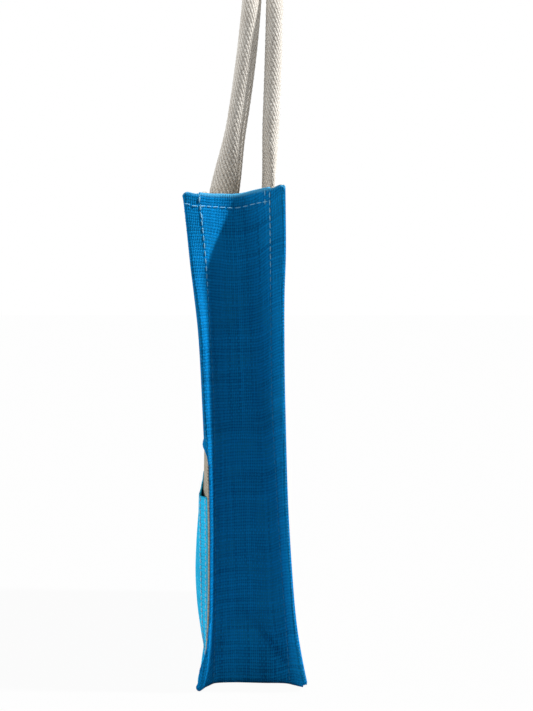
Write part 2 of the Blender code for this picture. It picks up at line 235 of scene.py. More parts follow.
def read_curve(table, column, at):
    """Smooth curve through one column of a table whose first column rises."""
    last = len(table) - 1
    k = max(i for i in range(last) if table[i][0] <= at or i == 0)
    x0, x1 = table[k][0], table[k + 1][0]
    y0, y1 = table[k][column], table[k + 1][column]

    def slope(i):
        low, high = max(i - 1, 0), min(i + 1, last)
        return (table[high][column] - table[low][column]) / (table[high][0] - table[low][0])

    t = clamp((at - x0) / (x1 - x0))
    rise, run = y1 - y0, x1 - x0
    a = slope(k) * run - rise
    b = rise - slope(k + 1) * run
    return y0 + rise * t + t * (1 - t) * (a * (1 - t) + b * t)


# Shape of the bag, worked out as in the part and sampled more finely

def top_height(side):
    return BAG_HEIGHT + (BACK_RISE if side == BACK else 0.0)


def stitch_y(side, share):
    column = 1 if side == FRONT else 3
    return read_curve(END_SHAPE, column, share) * GUSSET_WIDTH + GUSSET_SHIFT


def seam_turn(side, share):
    return math.radians(read_curve(END_SHAPE, 2 if side == FRONT else 4, share))


def face_y(side, x, share):
    """Place of a panel's middle surface at x and a share of the height."""
    belly = FRONT_BELLY if side == FRONT else BACK_BELLY
    fullness = read_curve(END_SHAPE, 5 if side == FRONT else 6, share)
    across = 1 - abs(2 * x / BAG_WIDTH) ** BELLY_POWER
    return stitch_y(side, share) + side * belly * fullness * across


def stitch_on_side(side, way, z):
    """Stitch point beside the face's edge at z, and how far the seam is a bottom seam there."""
    near = clamp((z - FACE_LOW) / CORNER_REACH)
    height = z - (FACE_BORDER - CORNER_CUT) * (1 - near) ** 2
    place = way * (BAG_WIDTH / 2 - CORNER_CUT * (1 - near) ** 3)
    lift = top_height(side) / BAG_HEIGHT
    point = Vector((place, stitch_y(side, height / BAG_HEIGHT), height * lift))
    return point, 0.5 * (1 - near) ** 3


def stitch_on_bottom(side, way, x):
    near = clamp((abs(x) - FACE_HALF) / CORNER_REACH + 1)
    place = x + way * (FACE_BORDER - CORNER_CUT) * near ** 2
    point = Vector((place, face_y(side, place, 0.0), SEAM_FOOT))
    return point, 1 - 0.5 * near ** 3


def seam_sample(side, x, z):
    """Stitch point, crease and edge of the seam beside the face point (x, z)."""
    way = 1 if x > 0 else -1
    if abs(x) == FACE_HALF:
        stitch, bottom = stitch_on_side(side, way, z)
    else:
        stitch, bottom = stitch_on_bottom(side, way, x)
    turn = seam_turn(side, stitch.z / BAG_HEIGHT)
    sideways = Vector((way * math.cos(turn), side * math.sin(turn), 0.0)) * SEAM_WIDTH
    splayed = Vector((0.0, side * SEAM_WIDTH * FOOT_SPLAY, 0.0))
    corner = 4 * bottom * (1 - bottom)
    edge = stitch + sideways.lerp(splayed, bottom) * (1 + EAR_REACH * corner)
    crease = stitch.lerp(edge, 0.5)
    pressed = min(1.0, 2 * bottom) if side == FRONT else bottom ** 2
    land = SEAM_LAND * (1 + CORNER_SLACK * corner)
    edge.z += (land - edge.z) * pressed
    crease.z += (edge.z - crease.z) * bottom
    return stitch, crease, edge, bottom


def seam_path(side, columns, rows):
    """Samples of a seam from the top left, down, along the bottom and up to the top right."""
    spots = [(-FACE_HALF, z) for z in reversed(rows)]
    spots += [(x, FACE_LOW) for x in columns[1:-1]]
    spots += [(FACE_HALF, z) for z in rows]
    samples = [seam_sample(side, x, z) for x, z in spots]
    path = []
    for i, sample in enumerate(samples):
        before, after = samples[max(i - 1, 0)], samples[min(i + 1, len(samples) - 1)]
        normals = []
        for k in range(3):
            along = after[k] - before[k]
            outward = sample[min(k + 1, 2)] - sample[max(k - 1, 0)]
            normals.append(along.cross(outward).normalized() * -side)
        path.append((*sample, normals))
    return path


def layer_points(sample, shift):
    """Stitch, crease and edge moved from the seam's middle plane to one of its layers."""
    *points, bottom, normals = sample
    shift *= 1 + CORNER_SLACK * 4 * bottom * (1 - bottom)
    return [point + normal * shift for point, normal in zip(points, normals)]


def bezier(points, t):
    points = list(points)
    while len(points) > 1:
        points = [a.lerp(b, t) for a, b in zip(points, points[1:])]
    return points[0]


def rolled_share(sample, drop=0.0):
    """How far the band's edge is rolled there: beside the pocket it isn't."""
    stitch = sample[0]
    if stitch.y > 0:
        return 1.0
    return float(max(ease(ROLL_END - ROLL_FADE, ROLL_END, stitch.z + drop),
                     ease(*FOOT_ROLL, stitch.z)))


def room_share(sample):
    """How much of the room for the roll a layer's edge leaves."""
    return rolled_share(sample, ROLL_FADE * 0.7) * (1 - min(1.0, 2 * sample[3]))


def seam_strip(sample, shift, room):
    """Points of a layer from the stitch line over the crease to its edge, short by its room."""
    stitch, crease, edge = layer_points(sample, shift)
    edge = edge - (edge - crease).normalized() * room * room_share(sample)
    line = [stitch]
    for start, end in ((stitch, crease), (crease, edge)):
        line += [start.lerp(end, step / SEAM_STEPS) for step in range(1, SEAM_STEPS + 1)]
    return line


def rolled_edge(sample, height):
    """The band's edge rolled round the panel's edge and back over the panel's far side."""
    centre = seam_strip(sample, -LAYER_STEP / 2, ROLL_ROOM)[-1]
    up = seam_strip(sample, LAYER_STEP / 2, ROLL_ROOM)[-1] - centre
    out = (sample[2] - sample[1]).normalized() * up.length
    share = rolled_share(sample)
    line = []
    for step in range(1, ROLL_STEPS + 1):
        angle = math.pi * step / ROLL_STEPS * (LEAST_TURN + (1 - LEAST_TURN) * share)
        line.append(centre + up * math.cos(angle) + out * math.sin(angle))
    reach = ROLL_BACK * (0.2 + 0.8 * float(ease(0.0, 0.025, height - FACE_LOW)))
    reach = reach * float(ease(0.5, 1.0, share)) + 0.0003
    back = (line[-1] - line[-2]).normalized()
    for step in range(1, BACK_STEPS + 1):
        line.append(line[ROLL_STEPS - 1] + back * reach * step / BACK_STEPS)
    return line


def face_point(side, x, z):
    return Vector((x, face_y(side, x, z / BAG_HEIGHT), z * top_height(side) / BAG_HEIGHT))


def border_line(start, outward, sample):
    """A panel's points from the edge of its face over the stitch line to the seam's edge."""
    line = seam_strip(sample, -LAYER_STEP / 2, PANEL_ROOM)
    stitch = line[0]
    back = (stitch - line[SEAM_STEPS]).normalized()
    reach = (stitch - start).length / 3
    curve = (start, start + outward * reach, stitch + back * reach, stitch)
    return [bezier(curve, step / BORDER_STEPS) for step in range(BORDER_STEPS)] + line


def gusset_section(front, back, share):
    """Points across the band between its two seams."""
    start = seam_strip(front, LAYER_STEP / 2, ROLL_ROOM)
    end = seam_strip(back, LAYER_STEP / 2, ROLL_ROOM)
    bottom = (front[3] + back[3]) / 2
    chord = end[0] - start[0]
    span = abs(chord.y)
    slack = max(GUSSET_WIDTH - span, 0.0)
    recess = math.sqrt(3 * span * slack / 8)
    way = -1 if start[0].x > 0 else 1
    inward = Vector((way * recess * (1 - bottom), 0, BOTTOM_LIFT * bottom))
    middle = (start[0] + end[0]) / 2 + inward
    middle.z -= MOUTH_SAG * share ** 4
    handle = LEAVE_SHARE * (recess * (1 - bottom) + SEAM_WIDTH * bottom)
    leave = start[0] + (start[0] - start[1]).normalized() * handle
    arrive = end[0] + (end[0] - end[1]).normalized() * handle
    pull = (middle * 16 - start[0] - leave * 4 - arrive * 4 - end[0]) / 6
    curve = (start[0], leave, pull, arrive, end[0])
    between = [bezier(curve, step / GUSSET_STEPS) for step in range(1, GUSSET_STEPS)]
    return start[::-1] + between + end


# Cloth as lattices of points

def as_lattice(rows):
    return np.array([[tuple(point) for point in row] for row in rows])


def lattice_normals(lattice, toward, spot=(-1, 0)):
    """Unit normals of a lattice, all on the side that is toward a vector at one spot."""
    normals = np.cross(np.gradient(lattice, axis=0), np.gradient(lattice, axis=1))
    normals /= np.linalg.norm(normals, axis=2, keepdims=True)
    return normals if normals[spot] @ np.array(toward) > 0 else -normals


def run_length(points):
    """Length run along a line of points, from its start to each point."""
    steps = np.linalg.norm(np.diff(points, axis=0), axis=1)
    return np.concatenate(([0.0], np.cumsum(steps)))


def hem_lattice(top, low, inward_top, inward_low):
    """Rows that fold a top edge over to the inside and down to the hem's lower edge."""
    rows = [top]
    for step in range(1, FOLD_STEPS + 1):
        angle = math.pi * step / FOLD_STEPS
        shift = inward_top * HEM_RADIUS * (1 - math.cos(angle))
        rows.append(top + shift + np.array((0, 0, HEM_RADIUS * math.sin(angle))))
    rows.append(low + inward_low * 2 * HEM_RADIUS)
    return np.array(rows)


def smooth_noise(points, scale, seed):
    """Perlin noise, from about -1 to 1, at each point of an array of points."""
    flat = points.reshape(-1, points.shape[-1])
    shift = Vector((seed * 7.31, seed * 3.77, seed * 5.13))
    values = [noise.noise(Vector(tuple(p)) / scale + shift) for p in flat.tolist()]
    return np.array(values).reshape(points.shape[:-1])


def mouth_shape(heights, reach):
    """How far the unfolded cloth beside a hem rises at the mouth, and its rounded outer corner."""
    climb = np.clip((np.array(heights) - BAG_HEIGHT + HEM_DEPTH) / HEM_DEPTH, 0, 1)[:, None]
    inside = np.clip(MOUTH_ROUND - SEAM_WIDTH + reach, 0, MOUTH_ROUND)
    drop = MOUTH_ROUND - np.sqrt(MOUTH_ROUND ** 2 - inside ** 2) + MOUTH_DROP * reach / SEAM_WIDTH
    return MOUTH_LIFT * climb - drop * climb ** 2


def settle(points):
    """The cloth's last settling: its mouth beside the seams, and a corner that turns in.

    The corner is the ear at the back of the far end's foot.
    """
    points = np.array(points)
    x, y, z = np.moveaxis(points, -1, 0)
    corner = ease(*FAR_END, x) * ease(*FAR_BACK, y) * ease(*FAR_FOOT, z)
    high = ease(*MOUTH_HEIGHTS, z) * ease(*MOUTH_ENDS, np.abs(x))
    front = ease(*FRONT_SEAM, y) * (1 - 0.9 * ease(*FRONT_EDGE, y))
    back = ease(*BACK_SEAM, y) * (1 - 2.4 * ease(*BACK_EDGE, y))
    fall = high * (FRONT_FALL * front + BACK_FALL * back)
    return points - np.stack([0 * x, corner * FAR_TUCK, fall], axis=-1)


def path_heights(columns, rows):
    """Nominal height of each sample of a seam's path."""
    return rows[::-1] + [FACE_LOW] * (len(columns) - 2) + rows


def add_object(name, data):
    thing = bpy.data.objects.new(name, data)
    bpy.context.collection.objects.link(thing)
    return thing


def smooth_piece(name, points, faces, spots, material):
    """A smooth piece whose map named cloth gives each point's place on the flat cloth."""
    mesh = bpy.data.meshes.new(name)
    mesh.from_pydata(points, [], faces)
    flat_map = mesh.uv_layers.new(name="cloth")
    corners = np.zeros(len(mesh.loops), dtype=np.int32)
    mesh.loops.foreach_get("vertex_index", corners)
    flat_map.data.foreach_set("uv", np.array(spots)[corners].ravel())
    mesh.materials.append(material)
    mesh.shade_smooth()
    return add_object(name, mesh)


def bake_modifiers(piece):
    """Turn a piece and its modifiers into a plain mesh."""
    graph = bpy.context.evaluated_depsgraph_get()
    mesh = bpy.data.meshes.new_from_object(piece.evaluated_get(graph), depsgraph=graph)
    piece.modifiers.clear()
    piece.data = mesh
    return piece


class Sheet:
    """Middle surface of one piece of cloth, given its thickness at the end."""

    def __init__(self):
        self.points = []
        self.spots = []
        self.faces = []

    def add(self, lattice, spots):
        """Take in a lattice and its places on the flat cloth; gives the points' numbers."""
        first = len(self.points)
        self.points.extend(lattice.reshape(-1, 3).tolist())
        self.spots.extend(spots.reshape(-1, 2).tolist())
        return np.arange(first, len(self.points)).reshape(lattice.shape[:2])

    def fill(self, numbers, flipped=False):
        """Faces between the neighbouring rows and columns of a lattice of point numbers."""
        a, b = numbers[:-1, :-1], numbers[:-1, 1:]
        c, d = numbers[1:, 1:], numbers[1:, :-1]
        corners = (a, d, c, b) if flipped else (a, b, c, d)
        self.faces.extend(np.stack(corners, axis=-1).reshape(-1, 4).tolist())

    def finish(self, name, material):
        piece = smooth_piece(name, settle(self.points).tolist(), self.faces, self.spots, material)
        wall = piece.modifiers.new("cloth", "SOLIDIFY")
        wall.thickness = CLOTH
        wall.offset = 0.0
        wall.use_even_offset = True
        return bake_modifiers(piece)


# Materials

def add_node(tree, kind, settings, inputs, output=0):
    """A new node's output; each input is given as a value or as the socket that feeds it."""
    made = tree.nodes.new(kind)
    for key, value in settings.items():
        setattr(made, key, value)
    for key, value in inputs.items():
        if isinstance(value, bpy.types.NodeSocket):
            tree.links.new(value, made.inputs[key])
        else:
            made.inputs[key].default_value = value
    return made.outputs[output]


class Wire:
    """One socket of a material's nodes; sums on it add Math nodes."""

    def __init__(self, paint, socket):
        self.paint = paint
        self.socket = socket

    def calc(self, operation, *others, clamped=False):
        return self.paint.node("ShaderNodeMath", {"operation": operation, "use_clamp": clamped},
                               dict(enumerate((self, *others))))

    def __add__(self, other):
        return self.calc("ADD", other)

    __radd__ = __add__

    def __mul__(self, other):
        return self.calc("MULTIPLY", other)

    __rmul__ = __mul__

    def __sub__(self, other):
        return self.calc("SUBTRACT", other)

    def __rsub__(self, other):
        return self.paint.node("ShaderNodeMath", {"operation": "SUBTRACT"}, {0: other, 1: self})

    def __truediv__(self, other):
        return self.calc("DIVIDE", other)

    def __pow__(self, other):
        return self.calc("POWER", other)

    def __abs__(self):
        return self.calc("ABSOLUTE")


class Paint:
    """A material and the nodes that make its finish."""

    def __init__(self, name, roughness, sheen=0.0, sheen_tint=(1.0, 1.0, 1.0), gloss=0.25):
        self.material = bpy.data.materials.new(name)
        self.material.use_nodes = True
        self.tree = self.material.node_tree
        self.shader = self.tree.nodes["Principled BSDF"]
        self.shader.inputs["Roughness"].default_value = roughness
        self.shader.inputs["Specular IOR Level"].default_value = gloss
        self.shader.inputs["Sheen Weight"].default_value = sheen
        self.shader.inputs["Sheen Roughness"].default_value = 0.6
        self.shader.inputs["Sheen Tint"].default_value = (*sheen_tint, 1.0)

    def node(self, kind, settings, inputs, output=0):
        plain = {key: value.socket if isinstance(value, Wire) else value
                 for key, value in inputs.items()}
        return Wire(self, add_node(self.tree, kind, settings, plain, output))

    def flat_place(self):
        """Place on the flat cloth, in metres across and along it."""
        spot = self.node("ShaderNodeUVMap", {"uv_map": "cloth"}, {})
        across = self.node("ShaderNodeSeparateXYZ", {}, {0: spot}, "X")
        along = self.node("ShaderNodeSeparateXYZ", {}, {0: spot}, "Y")
        return across, along

    def noise(self, x, y, scale, detail=2.0, z=0.0, roughness=0.5):
        """Noise from 0 to 1 at a place given in two or three numbers."""
        spot = self.node("ShaderNodeCombineXYZ", {}, {0: x, 1: y, 2: z})
        return self.node("ShaderNodeTexNoise", {},
                         {"Vector": spot, "Scale": scale, "Detail": detail,
                          "Roughness": roughness}, "Fac")

    def dice(self, x, y=0.0):
        """One random number from 0 to 1 for each pair of whole numbers."""
        spot = self.node("ShaderNodeCombineXYZ", {}, {0: x, 1: y, 2: 0.5})
        return self.node("ShaderNodeTexWhiteNoise", {}, {"Vector": spot}, "Value")

    def step(self, value, low, high, start=0.0, end=1.0):
        """Value moved smoothly from start to end while it runs from low to high."""
        return self.node("ShaderNodeMapRange", {"interpolation_type": "SMOOTHSTEP"},
                         {"Value": value, "From Min": low, "From Max": high, "To Min": start,
                          "To Max": end})

    def mix(self, factor, first, second, blend="MIX"):
        """Mix of two colours."""
        first, second = [c if isinstance(c, Wire) else (*c, 1.0) for c in (first, second)]
        return self.node("ShaderNodeMix", {"data_type": "RGBA", "blend_type": blend},
                         {"Factor": factor, 6: first, 7: second}, 2)

    def bright(self, colour, level):
        """Colour times a level."""
        grey = self.node("ShaderNodeCombineColor", {}, {0: level, 1: level, 2: level})
        return self.mix(1.0, colour, grey, "MULTIPLY")

    def finish(self, colour, height, depth):
        bump = self.node("ShaderNodeBump", {}, {"Height": height, "Distance": depth,
                                                 "Strength": 1.0})
        self.tree.links.new(colour.socket, self.shader.inputs["Base Color"])
        self.tree.links.new(bump.socket, self.shader.inputs["Normal"])
        return self.material


def weave(paint, across, along, rib, yarn, rib_share, slant):
    """Plain weave of ribs and crossing yarns: height, rib number, yarn number and gaps."""
    drift = paint.noise(across, along, 55.0) - 0.5
    sway = paint.noise(across, along, 38.0, z=4.0) - 0.5
    ribs = (along + drift * WEAVE_WANDER + slant) / rib
    yarns = (across + sway * WEAVE_WANDER) / yarn
    rib_wave = (ribs * math.pi).calc("SINE")
    yarn_wave = (yarns * math.pi).calc("SINE")
    over = (rib_wave * yarn_wave * 0.75 + rib_share).calc("MULTIPLY", 1.0, clamped=True)
    rib_round = abs(rib_wave) ** 0.8
    yarn_round = abs(yarn_wave) ** 0.8
    height = over * rib_round + (1 - over) * yarn_round * 0.85
    gaps = (1 - abs(rib_wave)) * (1 - abs(yarn_wave))
    return height, over, ribs.calc("FLOOR"), yarns.calc("FLOOR"), gaps


def jute_cloth(name, colour, shade, light, rib_share=0.62, gap_light=0.0, rib=RIB_PITCH,
               yarn=YARN_PITCH, contrast=1.0, flecks=0.0, gap_shade_share=0.7, sheen=0.15, gloss=0.2,
               ends=0.0):
    """Dyed or natural hessian: the yarn's colour, a shaded copy painted into the gaps and low yarn
    as painted shade, and a lit copy painted on the raised yarn as painted light, which also tints
    the sheen.

    With gap_light some gaps let a little light through. With ends, the length from the middle
    to the mouth, the ribs slant beside the seams and a pale band along the mouth's fold is a
    painted highlight.
    """
    paint = Paint(name, 0.85, sheen=sheen, sheen_tint=light, gloss=gloss)
    across, along = paint.flat_place()
    slant = 0.0
    if ends:
        way = paint.step(along, -0.01, 0.01, -1.0, 1.0)
        slant = paint.step(across, 0.012, 0.045, 0.0, -0.0085) * way
    height, over, rib_number, yarn_number, gaps = weave(paint, across, along, rib, yarn,
                                                        rib_share, slant)
    rib_dice = paint.dice(rib_number)
    yarn_dice = paint.dice(yarn_number, 3.0)
    slub = paint.noise(across * 0.22, rib_number * 0.37, 60.0, detail=3.0)
    slub_up = paint.noise(yarn_number * 0.41, along * 0.22, 60.0, detail=3.0, z=2.0)
    rib_tone = rib_dice * 0.35 + slub * 1.1
    cross_tone = yarn_dice * 0.35 + slub_up * 1.1
    yarn_tone = over * rib_tone + (1 - over) * cross_tone
    fibre = paint.noise(across * 0.35, along, 4200.0, detail=2.0)
    patch = paint.noise(across, along, 14.0, detail=3.0, z=7.0)
    relief = height + (slub - 0.5) * over * 0.8
    # Raised yarn is painted toward the lit copy and low yarn toward the shaded copy: painted light
    # and painted shade over the weave's relief, mixed with the yarns' own uneven tone
    tone = 0.42 + (relief * 0.42 + (yarn_tone - 0.72) * 0.5) * contrast
    tone = tone + (fibre - 0.5) * 0.35 + (patch - 0.5) * 0.6
    body = paint.mix(tone.calc("MULTIPLY", 1.0, clamped=True), shade, light)
    body = paint.mix(0.55, body, paint.bright(colour, tone * 1.35 + 0.1))
    # The gaps between the yarns are painted toward the shaded copy: painted shade
    gap_shade = paint.step(gaps, 0.25, 0.62)
    body = paint.mix(gap_shade * gap_shade_share, body, shade)
    if gap_light:
        thin = paint.step(paint.noise(across, along, 30.0, z=11.0), 0.48, 0.62)
        bright_hole = paint.step(gaps, 0.45, 0.8) * thin * gap_light
        body = paint.mix(bright_hole, body, PINHOLE_BLUE)
    if flecks:
        shive = paint.step(paint.noise(across * 0.25, along, 900.0, detail=1.0, z=5.0), 0.70, 0.76)
        body = paint.mix(shive * flecks, body, shade)
    if ends:
        # A pale band along the mouth's fold: painted highlight
        painted_highlight = paint.step(abs(along), ends - 0.0022, ends + 0.0002)
        body = paint.mix(painted_highlight * 0.7, body, FOLD_HIGHLIGHT_BLUE)
    lump = relief + (fibre - 0.5) * 0.25
    return paint.finish(body, lump, 0.0005)


def twill_tape(name):
    """Cream cotton twill tape: ridges of fine yarn that lean along the handle."""
    paint = Paint(name, 0.8, sheen=0.3)
    across, along = paint.flat_place()
    fibre = paint.noise(across, along * 0.3, 5200.0, detail=2.0)
    patch = paint.noise(across, along, 45.0, detail=3.0)
    ridge = paint.node("ShaderNodeAttribute", {"attribute_name": "ridge"}, {}, "Fac")
    speck = paint.noise(across, along, 1100.0, detail=1.0, z=3.0)
    tone = ridge * 0.9 + fibre * 0.25 + (patch - 0.5) * 0.5 + (speck - 0.5) * 1.0
    # Grooves between the ridges are painted dark brown and the ridges cream: painted shade in the
    # grooves
    body = paint.mix(tone.calc("MULTIPLY", 1.0, clamped=True), (0.24, 0.17, 0.11),
                     (0.95, 0.92, 0.85))
    return paint.finish(body, ridge + fibre * 0.4, 0.0003)


def sewing_thread(name, colour, shaded_colour=None):
    """Twisted thread; with a second colour it is painted that darker colour below about 0.3 m, as
    painted shade.
    """
    paint = Paint(name, 0.6, sheen=0.1, gloss=0.1)
    spot = paint.node("ShaderNodeTexCoord", {}, {}, "Object")
    place = paint.node("ShaderNodeSeparateXYZ", {}, {0: spot}, "Z")
    side = paint.node("ShaderNodeSeparateXYZ", {}, {0: spot}, "Y")
    twist = ((place + side) * (2 * math.pi / 0.0007)).calc("SINE") * 0.5 + 0.5
    # The twist's grooves are painted darker: painted shade
    body = paint.mix(twist, [c * 0.72 for c in colour], colour)
    # Below about 0.3 m the thread is painted the band's dark blue: painted shade where the band
    # lies in shadow
    if shaded_colour:
        body = paint.mix(paint.step(place, 0.285, 0.330), shaded_colour, body)
    return paint.finish(body, twist, 0.0001)


# Pieces of cloth

def bag_rows(step):
    """Heights of a sheet's rows: the corner, the open stretch and the top hem."""
    low = spread(FACE_LOW, FACE_LOW + FACE_BORDER, step)
    hem = [BAG_HEIGHT - HEM_DEPTH * (1 - k / HEM_ROWS) for k in range(1, HEM_ROWS + 1)]
    return low + spread(low[-1], BAG_HEIGHT - HEM_DEPTH, step)[1:] + hem


def soft_waves(spots, seed, height):
    """Slow unevenness of hanging cloth, by its place on the flat cloth."""
    flat = np.concatenate([spots, np.zeros((*spots.shape[:2], 1))], axis=2)
    slow = smooth_noise(flat, WAVE_SCALES[0], seed)
    quick = smooth_noise(flat, WAVE_SCALES[1], seed + 3)
    return height * (slow + 0.35 * quick)


def panel_face(side, columns, rows):
    """Points of a panel inside its seams, and their places on the flat cloth."""
    face = as_lattice([[face_point(side, x, z) for x in columns] for z in rows])
    spots = np.array([[(x, z) for x in columns] for z in rows])
    x, z = np.moveaxis(spots, -1, 0)
    free = ease(0.0, 0.03, FACE_HALF - np.abs(x)) * ease(0.0, 0.03, z - FACE_LOW)
    free *= ease(0.0, 0.04, BAG_HEIGHT - z)
    if side == FRONT:
        free *= ease(POCKET_HEIGHT - 0.01, POCKET_HEIGHT + 0.05, z)
    inside = lattice_normals(face, (0, -side, 0))
    wave = soft_waves(spots, 1 if side == FRONT else 2, PANEL_WAVE) * free
    return face + inside * wave[..., None], spots, inside


def panel_strip(side, face, columns, rows, places):
    """Points from the edge of a panel's face to the seam's edge, for each place of the edge."""
    strip = []
    for (j, i, dj, di), sample in zip(places, seam_path(side, columns, rows)):
        if j == 0 and i in (0, len(columns) - 1):
            dj = 1
        start = Vector(face[j, i])
        outward = (start - Vector(face[j + dj, i + di])).normalized()
        strip.append(border_line(start, outward, sample))
    strip = as_lattice(strip)
    heights = path_heights(columns, rows)
    reach = np.array([run_length(line[BORDER_STEPS:]) for line in strip])
    strip[:, BORDER_STEPS:, 2] += mouth_shape(heights, reach)
    strip[:, 1:BORDER_STEPS, 2] += mouth_shape(heights, 0.0)
    return strip


def make_panel(side, name, material):
    """A flat panel with its top hem and the seam allowance round its other three sides."""
    columns, rows = spread(-FACE_HALF, FACE_HALF, PANEL_STEP), bag_rows(PANEL_STEP)
    face, spots, inside = panel_face(side, columns, rows)
    top, right = len(rows) - 1, len(columns) - 1
    places = [(j, 0, 0, 1) for j in range(top, -1, -1)]
    places += [(0, i, 1, 0) for i in range(1, right)]
    places += [(j, right, 0, -1) for j in range(top + 1)]
    strip = panel_strip(side, face, columns, rows, places)
    edge_spots = np.array([spots[j, i] for j, i, _, _ in places])
    ways = np.array([((i == right) - (i == 0), -(j == 0)) for j, i, _, _ in places], float)
    ways /= np.linalg.norm(ways, axis=1, keepdims=True)
    reach = np.array([run_length(line) for line in strip])
    strip_spots = edge_spots[:, None, :] + ways[:, None, :] * reach[..., None]
    sheet = Sheet()
    numbers = sheet.add(face, spots)
    sheet.fill(numbers)
    ring = np.array([numbers[j, i] for j, i, _, _ in places])
    outer = sheet.add(strip[:, 1:], strip_spots[:, 1:])
    sheet.fill(np.concatenate([ring[:, None], outer], axis=1))
    low = -1 - HEM_ROWS
    hem = hem_lattice(face[-1], face[low], inside[-1], inside[low])
    hem_spots = np.repeat(spots[-1:, :], len(hem), axis=0)
    hem_spots[..., 1] += run_length(hem[:, right // 2])[:, None]
    folded = sheet.add(hem[1:], hem_spots[1:])
    sheet.fill(np.concatenate([numbers[-1:], folded]))
    away = lattice_normals(strip, (0, side, 0), (0, BORDER_STEPS))
    seam = (strip + away * THREAD_OUT)[:, BORDER_STEPS]
    return sheet.finish(name, material), seam[2:-2]


def gusset_lattice():
    """Points of the band, their places on the flat cloth, and its rolled edges at the ends."""
    columns, rows = spread(-FACE_HALF, FACE_HALF, GUSSET_STEP), bag_rows(GUSSET_STEP)
    front, back = seam_path(FRONT, columns, rows), seam_path(BACK, columns, rows)
    lattice = as_lattice([gusset_section(a, b, a[0].z / BAG_HEIGHT)
                          for a, b in zip(front, back)])
    heights = path_heights(columns, rows)
    rolls = [as_lattice([rolled_edge(sample, height) for sample, height in zip(path, heights)])
             for path in (front, back)]
    stitch = 2 * SEAM_STEPS
    along = run_length((lattice[:, stitch] + lattice[:, -1 - stitch]) / 2)
    across = np.array([run_length(line) for line in lattice])
    across -= across[:, lattice.shape[1] // 2][:, None]
    spots = np.stack([across, np.repeat(along[:, None], lattice.shape[1], axis=1)], axis=2)
    wide = np.array([run_length(line[:stitch + 1]) for line in lattice])[:, ::-1]
    lattice[:, :stitch + 1, 2] += mouth_shape(heights, wide)
    lattice[:, -1 - stitch:, 2] += mouth_shape(heights, wide[:, ::-1])
    outer = np.array([SEAM_WIDTH - ROLL_ROOM * (1 - math.sin(math.pi * k / ROLL_STEPS))
                      for k in range(1, ROLL_STEPS + 1)] + [SEAM_WIDTH - ROLL_ROOM] * BACK_STEPS)
    between = np.sin(np.linspace(0, math.pi, lattice.shape[1] - 2 * stitch))
    high = ease(BAG_HEIGHT - 0.05, BAG_HEIGHT, np.array(heights))
    lattice[:, stitch:-stitch, 2] += MOUTH_RAISE * high[:, None] * between
    for roll in rolls:
        roll[..., 2] += mouth_shape(heights, outer)
    along -= along[-1] / 2
    spots[..., 1] = along[:, None]
    return lattice, spots, rolls, len(rows)


def foot_folds(lattice):
    """How deep the band lies at its bottom corners, outside the folds."""
    y, z = lattice[..., 1], lattice[..., 2]
    depth = np.zeros(lattice.shape[:2])
    for (y0, z0), (y1, z1), deep in FOOT_FOLDS:
        length = math.hypot(y1 - y0, z1 - z0)
        beside = ((y - y0) * (z0 - z1) + (z - z0) * (y1 - y0)) / length * math.copysign(1, deep)
        depth += abs(deep) * ease(*FOLD_EDGE, beside) * ease(*FOLD_HEIGHTS, z)
    return depth


def between_rows(lattice, row):
    low = int(row)
    return lattice[low] * (low + 1 - row) + lattice[low + 1] * (row - low)


def add_roll(sheet, part, edge, roll, way):
    """Join a stretch of a rolled edge to the band's edge; each is points, places and numbers."""
    points, spots, numbers = (array[part] for array in edge)
    line = np.concatenate([points[:, None], roll[part]], axis=1)
    reach = np.array([run_length(row) for row in line])[:, 1:]
    flat = np.repeat(spots[:, None], roll.shape[1], axis=1)
    flat[..., 0] += way * reach
    rolled = sheet.add(roll[part], flat)
    if way < 0:
        sheet.fill(np.concatenate([rolled[:, ::-1], numbers[:, None]], axis=1))
    else:
        sheet.fill(np.concatenate([numbers[:, None], rolled], axis=1))


def add_gusset_hem(sheet, lattice, spots, numbers, end, way):
    """The hem at one of the band's short ends, folded in between its seams."""
    stitch = 2 * SEAM_STEPS
    hemmed = slice(stitch + 1, lattice.shape[1] - stitch - 1)
    low = end + way * HEM_ROWS
    inward = lattice_normals(lattice[[end, low]], (way, 0, 0), (0, lattice.shape[1] // 2))
    hem = hem_lattice(lattice[end, hemmed], lattice[low, hemmed], inward[0, hemmed],
                      inward[1, hemmed])
    hem_spots = np.repeat(spots[[end], hemmed], len(hem), axis=0)
    hem_spots[..., 1] -= way * run_length(hem[:, HEM_SAMPLE])[:, None]
    folded = sheet.add(hem[1:], hem_spots[1:])
    sheet.fill(np.concatenate([numbers[[end], hemmed], folded]), flipped=way > 0)


def hem_thread(skin, row, tick, second):
    """The hem's stitches, the short row that turns up at their end, and a second seam row."""
    stitch = 2 * SEAM_STEPS
    last = skin.shape[1] - stitch - 4
    turned = [between_rows(skin, row + (tick - row) * share)[last]
              for share in (0.0, 0.35, 0.7, 1.0)]
    beside = skin[second, stitch + 1] - np.array((0.0, SECOND_SEAM, 0.0))
    return [between_rows(skin, row)[:last + 1], np.array(turned), beside]


